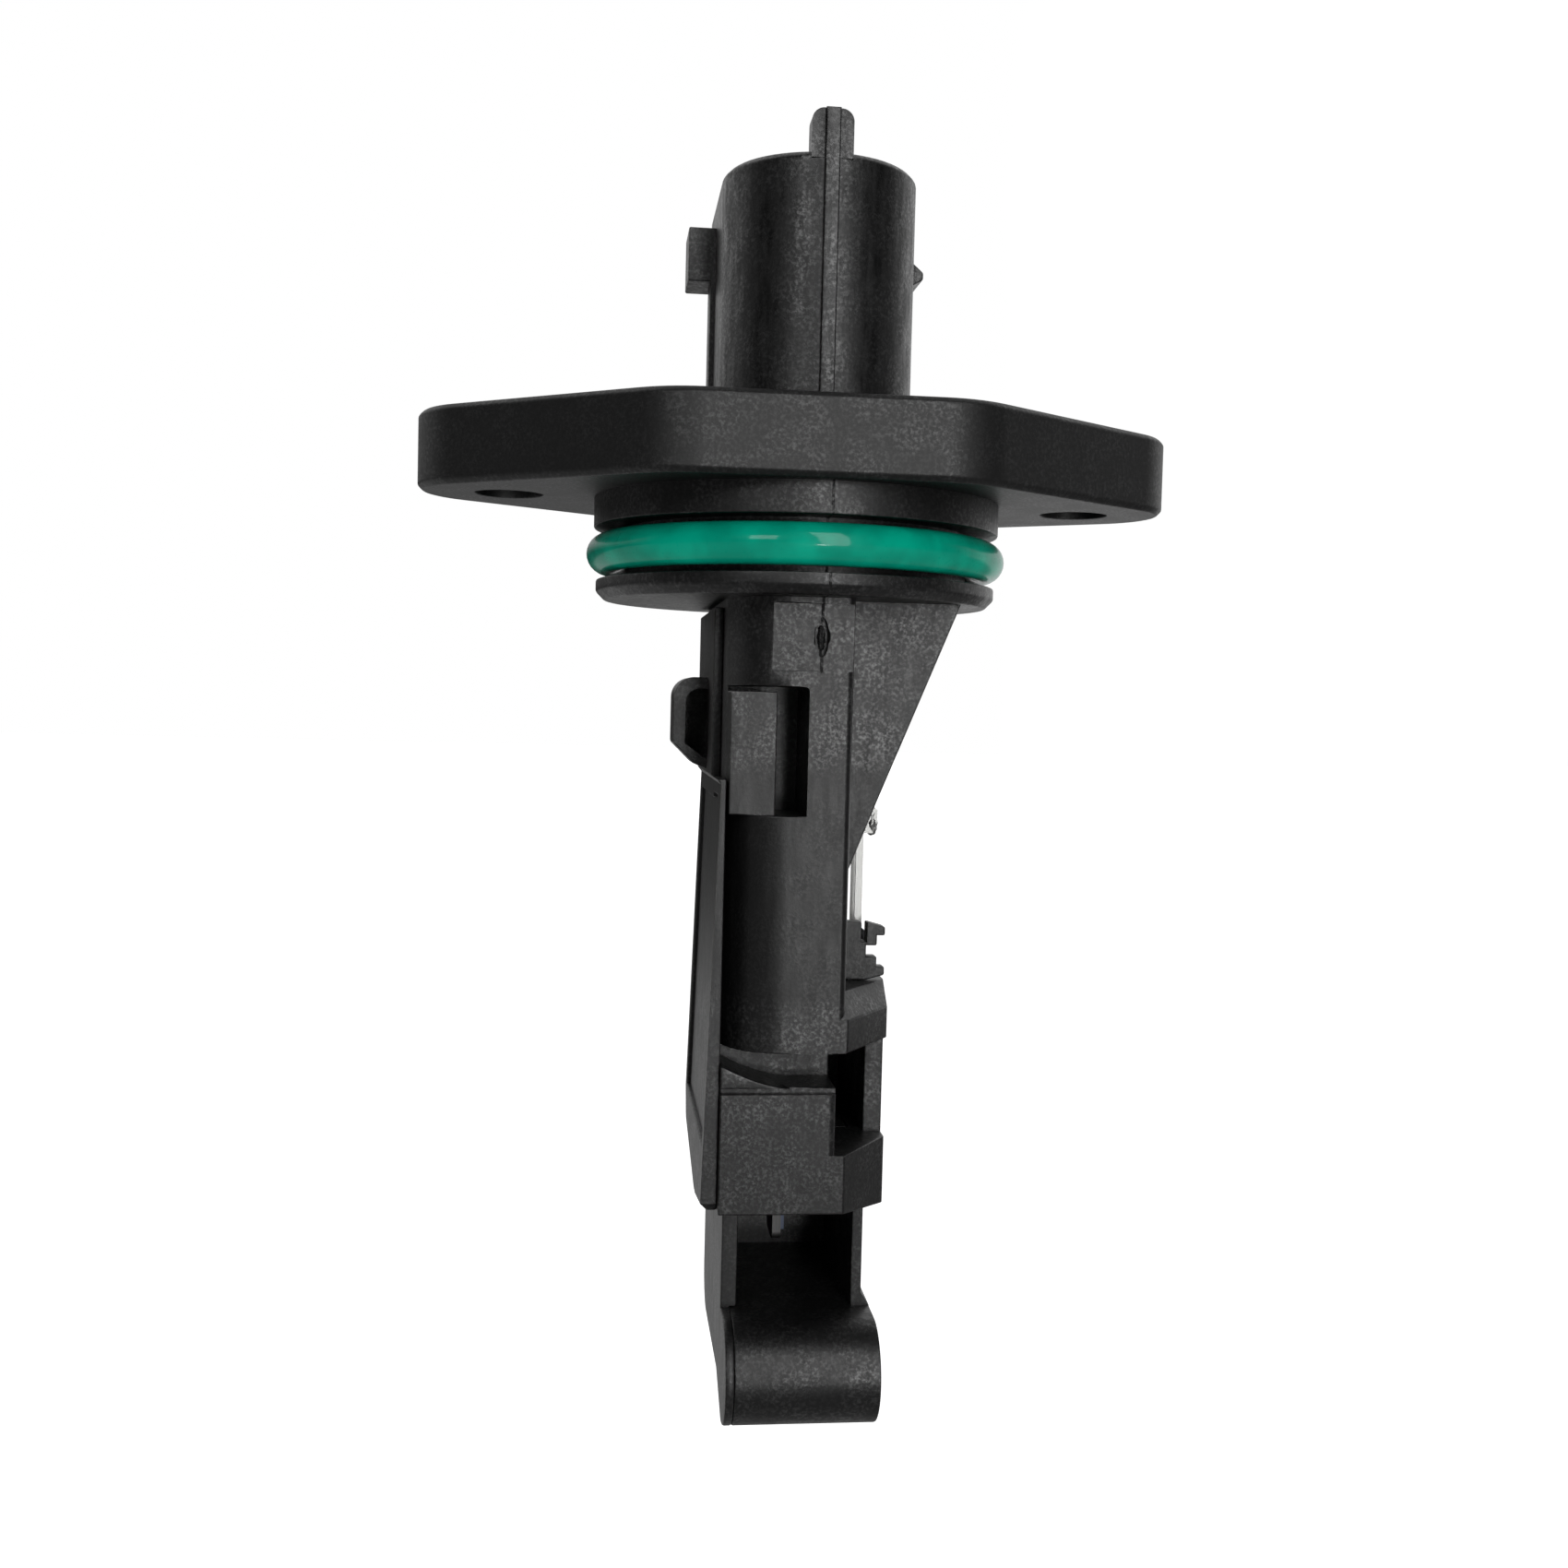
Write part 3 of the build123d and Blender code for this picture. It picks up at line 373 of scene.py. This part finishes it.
def metal(name, colour, roughness, spacing):
    """Metal with fine drawing marks that run up and down."""
    material, tree, place = new_material(name)
    marks = noise(tree, place, spacing, detail=3.0, stretch=(1, 1, 0.05))
    shade = mixed(tree, marks.band(0.35, 0.65), darker(colour, 0.82), colour)
    values = {"Base Color": shade, "Metallic": 1.0, "Roughness": roughness + (marks - 0.5) * 0.2,
              "Normal": bump(tree, marks, 0.01 * MM, 0.3)}
    principled(tree, values)
    return material


def mineral(name, colour, roughness, spacing, depth):
    """Ceramic, chips, gel and other small insulating pieces: a colour with slight clouds and grain."""
    material, tree, place = new_material(name)
    cloud = noise(tree, place, spacing * 6, detail=2.0)
    grain = noise(tree, place, spacing, detail=2.0)
    shade = mixed(tree, cloud.band(0.35, 0.65), darker(colour, 0.8), colour)
    values = {"Base Color": shade, "Roughness": roughness + (grain - 0.5) * 0.15,
              "Normal": bump(tree, grain, depth, 0.4)}
    principled(tree, values)
    return material


def put_on(piece, material):
    """Gives a piece one material."""
    piece.data.materials.clear()
    piece.data.materials.append(material)


def select_only(piece):
    bpy.ops.object.select_all(action="DESELECT")
    piece.select_set(True)
    bpy.context.view_layer.objects.active = piece


def round_edges(piece, width):
    """Rounds the sharp outward edges, but none that meets an edge too short to carry the round."""
    bpy.ops.mesh.select_mode(type="EDGE")
    bpy.ops.mesh.select_all(action="DESELECT")
    form = bmesh.from_edit_mesh(piece.data)
    short = [edge for edge in form.edges if edge.calc_length() < SHORT_EDGE * width]
    crowded = {corner for edge in short for corner in edge.verts}
    for edge in form.edges:
        sharp = edge.is_convex and edge.calc_face_angle(0) > ROUNDED_FROM
        if sharp and not crowded.intersection(edge.verts):
            edge.select_set(True)
    bmesh.update_edit_mesh(piece.data)
    bpy.ops.mesh.bevel(offset=width, segments=2, affect="EDGES")


def dressed_copy(name, label, edge_width):
    """A copy of a moulded piece, joined up and with its edges rounded. It stands for the piece."""
    source = frame["nodes"][name]
    select_only(source)
    bpy.ops.object.duplicate()
    piece = bpy.context.view_layer.objects.active
    piece.name = label
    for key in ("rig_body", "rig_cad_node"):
        if key in piece:
            del piece[key]
    bpy.ops.object.mode_set(mode="EDIT")
    bpy.ops.mesh.select_all(action="SELECT")
    bpy.ops.mesh.customdata_custom_splitnormals_clear()
    bpy.ops.mesh.remove_doubles(threshold=SAME_PLACE)
    bpy.ops.mesh.dissolve_limited(angle_limit=SAME_PLANE)
    round_edges(piece, edge_width)
    bpy.ops.object.mode_set(mode="OBJECT")
    bpy.ops.object.shade_smooth_by_angle(angle=SHADED_FROM)
    flats = piece.modifiers.new("flats", "WEIGHTED_NORMAL")
    flats.keep_sharp = True
    bpy.ops.object.modifier_apply(modifier="flats")
    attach(piece, "root")
    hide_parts(name)
    return piece


def lump(name, middle, height, shape, levels, ridge_spacing, ridge_height):
    """A ball squeezed to a shape and roughened, as torn plastic or a weld nugget is."""
    bpy.ops.object.select_all(action="DESELECT")
    bpy.ops.mesh.primitive_ico_sphere_add(subdivisions=levels, radius=height / 2, location=middle)
    piece = bpy.context.active_object
    piece.name = name
    bpy.ops.object.mode_set(mode="EDIT")
    bpy.ops.mesh.select_all(action="SELECT")
    bpy.ops.transform.resize(value=shape, center_override=middle)
    bpy.ops.object.mode_set(mode="OBJECT")
    ridges = piece.modifiers.new("ridges", "DISPLACE")
    ridges.texture = bpy.data.textures.new(f"{name}_ridges", "CLOUDS")
    ridges.texture.noise_scale = ridge_spacing
    ridges.strength = ridge_height
    bpy.ops.object.modifier_apply(modifier="ridges")
    bpy.ops.object.transform_apply(location=True, rotation=True, scale=True)
    bpy.ops.object.shade_smooth()
    return piece


class SENSOR_OT_stage(bpy.types.Operator):
    """Set the floor, the lamps, the backdrop and the camera"""

    bl_idname = "sensor.stage"
    bl_label = "Stage"

    def execute(self, context):
        studio = context.scene.sensor_studio
        bpy.ops.object.select_all(action="DESELECT")
        bpy.ops.mesh.primitive_plane_add(
            size=studio.floor_size, location=(0, 0, CAD_BOX[0][2] - studio.floor_drop))
        floor = context.active_object
        floor.name = "floor"
        put_on(floor, self.floor_white())
        self.backdrop(context.scene)
        self.lamp("key", studio.key_turn, studio.key_height, studio.key_size, studio.key_power)
        self.lamp("glint", studio.glint_turn, studio.glint_height, studio.glint_size, studio.glint_power)
        self.lamp("side", studio.side_turn, studio.side_height, studio.side_size, studio.side_power)
        self.camera(context, studio)
        context.scene.view_settings.view_transform = "Standard"
        return {"FINISHED"}

    @staticmethod
    def floor_white():
        """White to the eye, and still darker where something shades it. Reflections see greys of its own."""
        material, tree, place = new_material("floor white")
        across, away, _ = axes(tree, place)
        camera_ray = node(tree, "ShaderNodeLightPath", output="Is Camera Ray")
        diffuse_ray = camera_ray.beside("Is Diffuse Ray")
        glossy_ray = camera_ray.beside("Is Glossy Ray")

        # What the eye sees: a lit floor with a glow that is a little weaker near the sensor
        mottle = noise(tree, place, 40 * MM)
        white = mixed(tree, mottle.band(0.3, 0.7), grey(0.8), grey(0.82))
        lit = node(tree, "ShaderNodeBsdfDiffuse", {"Color": white})
        seen = camera_ray * (0.85 + away.band(0.3, 1.5) * 0.15) + diffuse_ray * 0.25
        glow = node(tree, "ShaderNodeEmission", {"Strength": seen})
        eye = node(tree, "ShaderNodeAddShader", {0: lit, 1: glow})

        # What reflections see, in greys from near to far: a front, and behind it a left and a right half
        left = mixed(tree, away.band(0.4, 0.7), grey(0.55), grey(0.02))
        right = mixed(tree, away.band(0.22, 0.38), grey(0.08), grey(1))
        rear = mixed(tree, across.band(0.02, 0.18), left, right)
        shade = mixed(tree, away.band(-0.05, 0.1), grey(0.2), rear)
        mirror = node(tree, "ShaderNodeEmission", {"Color": shade})
        close_material(tree, node(tree, "ShaderNodeMixShader", {0: glossy_ray, 1: eye, 2: mirror}))
        return material

    @staticmethod
    def backdrop(scene):
        """White behind everything, and a dark studio with a pale rear half."""
        world = bpy.data.worlds.new("studio")
        scene.world = world
        world.use_nodes = True
        tree = world.node_tree
        tree.nodes.clear()
        direction = node(tree, "ShaderNodeTexCoord", output="Generated")
        right, behind, high = axes(tree, direction)
        rightward = right.band(0.05, 0.25)
        pale_right = behind.band(-0.1, 0.55) * rightward
        pale_left = behind.band(-0.05, 0.35) * high.band(0.0, 0.3) * (1 - rightward)
        around = 0.01 + pale_right + pale_left * 0.85
        camera_ray = node(tree, "ShaderNodeLightPath", output="Is Camera Ray")
        strength = camera_ray.math("MAXIMUM", around)
        sky = node(tree, "ShaderNodeBackground", {"Color": grey(1), "Strength": strength})
        node(tree, "ShaderNodeOutputWorld", {"Surface": sky})

    @staticmethod
    def lamp(name, turn, height, size, power):
        """An oblong lamp in front of the sensor, so far to the right and so high, that faces it."""
        distance = bpy.context.scene.sensor_studio.lamp_distance
        aim = Vector((0, 0, (CAD_BOX[0][2] + CAD_BOX[1][2]) / 2))
        level = math.cos(height)
        way = Vector((math.sin(turn) * level, -math.cos(turn) * level, math.sin(height)))
        bpy.ops.object.light_add(type="AREA", location=aim + way * distance)
        lamp = bpy.context.active_object
        lamp.name = name
        lamp.data.shape = "RECTANGLE"
        lamp.data.size, lamp.data.size_y = size
        lamp.data.energy = power
        lamp.rotation_euler = (-way).to_track_quat("-Z", "Y").to_euler()

    @staticmethod
    def camera(context, studio):
        """Camera at the photograph's angle: its axes come from yaw, pitch and roll."""
        bpy.ops.object.camera_add()
        camera = context.active_object
        level = math.cos(studio.pitch)
        forward = Vector((math.sin(studio.yaw) * level, math.cos(studio.yaw) * level, math.sin(studio.pitch)))
        level_right = forward.cross(Vector((0, 0, 1))).normalized()
        level_up = level_right.cross(forward)
        right = level_right * math.cos(studio.roll) + level_up * math.sin(studio.roll)
        up = level_up * math.cos(studio.roll) - level_right * math.sin(studio.roll)
        turn = Matrix((right, up, -forward)).transposed().to_4x4()
        camera.matrix_world = Matrix.Translation(Vector(studio.eye)) @ turn
        camera.data.lens = studio.lens
        camera.data.sensor_width = 36
        camera.data.clip_start = 0.005
        context.scene.camera = camera


class SENSOR_OT_housing(bpy.types.Operator):
    """Finish the housing: flange, plug, connector shell and finger"""

    bl_idname = "sensor.housing"
    bl_label = "Housing"

    def execute(self, context):
        finish = context.scene.sensor_finish
        piece = dressed_copy("sensor_housing", "housing_shell", context.scene.sensor_sizes.edge_break)
        plastic = moulded_plastic(
            "housing plastic", finish.housing_black, dullness=0.44, speckle=0.5, streak=0.26)
        put_on(piece, plastic)

        # The torn stub in the oval recess, where the plastic flowed in
        sizes = context.scene.sensor_sizes
        stub = lump("gate_scar", Vector(sizes.gate_middle), sizes.gate_height, shape=(0.3, 0.3, 1.0),
                    levels=5, ridge_spacing=0.22 * MM, ridge_height=0.2 * MM)
        put_on(stub, plastic)
        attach(stub, "root")
        return {"FINISHED"}


class SENSOR_OT_covers(bpy.types.Operator):
    """Finish both side covers and the measuring channel"""

    bl_idname = "sensor.covers"
    bl_label = "Covers and channel"

    def execute(self, context):
        finish = context.scene.sensor_finish
        edge_width = context.scene.sensor_sizes.edge_break
        cover = moulded_plastic("cover plastic", finish.cover_black, dullness=0.45, speckle=0.3, streak=0.2)
        channel = moulded_plastic(
            "channel plastic", finish.channel_black, dullness=0.46, speckle=0.45, streak=0.3)
        for name, label, material, slot in (
                ("electronics_cover", "electronics_cover_shell", cover, "cover_plastic"),
                ("channel_cover", "channel_cover_plate", cover, "cover_plastic"),
                ("channel_body", "channel_moulding", channel, "channel_plastic")):
            piece = dressed_copy(name, label, edge_width)
            put_on(piece, material)
        return {"FINISHED"}


class SENSOR_OT_seal(bpy.types.Operator):
    """Spin the sealing ring from its round section"""

    bl_idname = "sensor.seal"
    bl_label = "Sealing ring"

    def execute(self, context):
        low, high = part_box("seal_ring")
        section = (high.z - low.z) / 2
        level = (low.z + high.z) / 2
        bpy.ops.object.select_all(action="DESELECT")
        bpy.ops.mesh.primitive_circle_add(
            vertices=28, radius=section, location=(high.x - section, 0, level), rotation=(math.pi / 2, 0, 0))
        ring = context.active_object
        ring.name = "sealing_ring"
        bpy.ops.object.mode_set(mode="EDIT")
        bpy.ops.mesh.select_all(action="SELECT")
        bpy.ops.mesh.spin(steps=144, angle=2 * math.pi, center=(0, 0, level), axis=(0, 0, 1))
        bpy.ops.mesh.select_all(action="SELECT")
        bpy.ops.mesh.remove_doubles(threshold=SAME_PLACE)
        bpy.ops.mesh.normals_make_consistent(inside=False)
        bpy.ops.object.mode_set(mode="OBJECT")
        bpy.ops.object.transform_apply(location=True, rotation=True, scale=True)
        bpy.ops.object.shade_smooth()
        put_on(ring, seal_rubber())
        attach(ring, "root")
        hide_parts("seal_ring")
        return {"FINISHED"}


class SENSOR_OT_metal(bpy.types.Operator):
    """Finish the contacts and the air temperature element, and weld its leads"""

    bl_idname = "sensor.metal"
    bl_label = "Contacts and leads"

    def execute(self, context):
        finish = context.scene.sensor_finish
        tin = metal("tinned metal", finish.tin, 0.42, 0.08 * MM)
        for name in sorted(frame["nodes"]):
            if name.startswith(("terminal_", "contact_post_", "temperature_lead_", "bond_wires")):
                put_on(frame["nodes"][name], tin)
        bead = mineral("bead glaze", (0.02, 0.02, 0.022), 0.25, 0.2 * MM, 0.01 * MM)
        put_on(frame["nodes"]["temperature_bead"], bead)

        # A weld nugget where each lead meets its post's foot, set in from the post's box by parts of its size
        size = context.scene.sensor_sizes.weld_size
        for side in ("front", "rear"):
            low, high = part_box(f"contact_post_{side}")
            middle = Vector((high.x - 0.18 * size, (low.y + high.y) / 2, low.z + 0.42 * size))
            nugget = lump(f"weld_{side}", middle, size, shape=(0.42, 0.5, 1.0), levels=4,
                          ridge_spacing=0.5 * MM, ridge_height=0.35 * MM)
            put_on(nugget, tin)
            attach(nugget, "root")
        return {"FINISHED"}


class SENSOR_OT_circuit(bpy.types.Operator):
    """Finish what lies inside: the board, its components, the carrier and the sensor chip"""

    bl_idname = "sensor.circuit"
    bl_label = "Circuit"

    def execute(self, context):
        # After each name: colour, roughness, spacing of the marks or grain and, for a mineral, their depth
        looks = {
            "carrier_plate": metal("carrier aluminium", grey(0.62), 0.4, 0.1 * MM),
            # The tongue's dark grey is partly a duller metal of its own and partly painted shade, for its
            # place deep in the inlet.
            "sensor_tongue": metal("tongue metal with painted shade", grey(0.13), 0.5, 0.1 * MM),
            "circuit_board": mineral("white ceramic", (0.78, 0.77, 0.73), 0.5, 0.1 * MM, 0.004 * MM),
            "evaluation_chip": mineral("chip black", grey(0.012), 0.5, 0.08 * MM, 0.004 * MM),
            "capacitors": mineral("capacitor tan", (0.4, 0.27, 0.16), 0.45, 0.08 * MM, 0.003 * MM),
            "resistors": mineral("resistor black", (0.02, 0.02, 0.025), 0.35, 0.08 * MM, 0.003 * MM),
            "protective_gel": mineral("clear gel", (0.7, 0.71, 0.68), 0.15, 0.5 * MM, 0.01 * MM),
            "cover_adhesive": mineral("black adhesive", grey(0.01), 0.35, 0.2 * MM, 0.01 * MM),
            "sensor_chip": mineral("polished silicon", (0.1, 0.12, 0.18), 0.12, 0.2 * MM, 0.001 * MM),
        }
        for name, material in looks.items():
            put_on(frame["nodes"][name], material)
        return {"FINISHED"}


class SENSOR_PT_panel(bpy.types.Panel):
    """Lists the steps of the sensor's looks"""

    bl_label = "Mass airflow sensor"
    bl_space_type = "VIEW_3D"
    bl_region_type = "UI"
    bl_category = "Sensor"

    def draw(self, context):
        for step in STEPS:
            self.layout.operator(step.bl_idname)
        for group in (context.scene.sensor_finish, context.scene.sensor_sizes, context.scene.sensor_studio):
            box = self.layout.box()
            for name in group.__annotations__:
                box.prop(group, name)


STEPS = (SENSOR_OT_stage, SENSOR_OT_housing, SENSOR_OT_covers, SENSOR_OT_seal, SENSOR_OT_metal,
         SENSOR_OT_circuit)
GROUPS = (SensorFinish, SensorSizes, StudioSetup)


def register():
    for kind in (*GROUPS, *STEPS, SENSOR_PT_panel):
        bpy.utils.register_class(kind)
    bpy.types.Scene.sensor_finish = bpy.props.PointerProperty(type=SensorFinish)
    bpy.types.Scene.sensor_sizes = bpy.props.PointerProperty(type=SensorSizes)
    bpy.types.Scene.sensor_studio = bpy.props.PointerProperty(type=StudioSetup)


def unregister():
    del bpy.types.Scene.sensor_finish
    del bpy.types.Scene.sensor_sizes
    del bpy.types.Scene.sensor_studio
    for kind in reversed((*GROUPS, *STEPS, SENSOR_PT_panel)):
        bpy.utils.unregister_class(kind)


def main():
    register()
    bpy.ops.sensor.stage()
    bpy.ops.sensor.housing()
    bpy.ops.sensor.covers()
    bpy.ops.sensor.seal()
    bpy.ops.sensor.metal()
    bpy.ops.sensor.circuit()


if __name__ == "__main__":
    main()
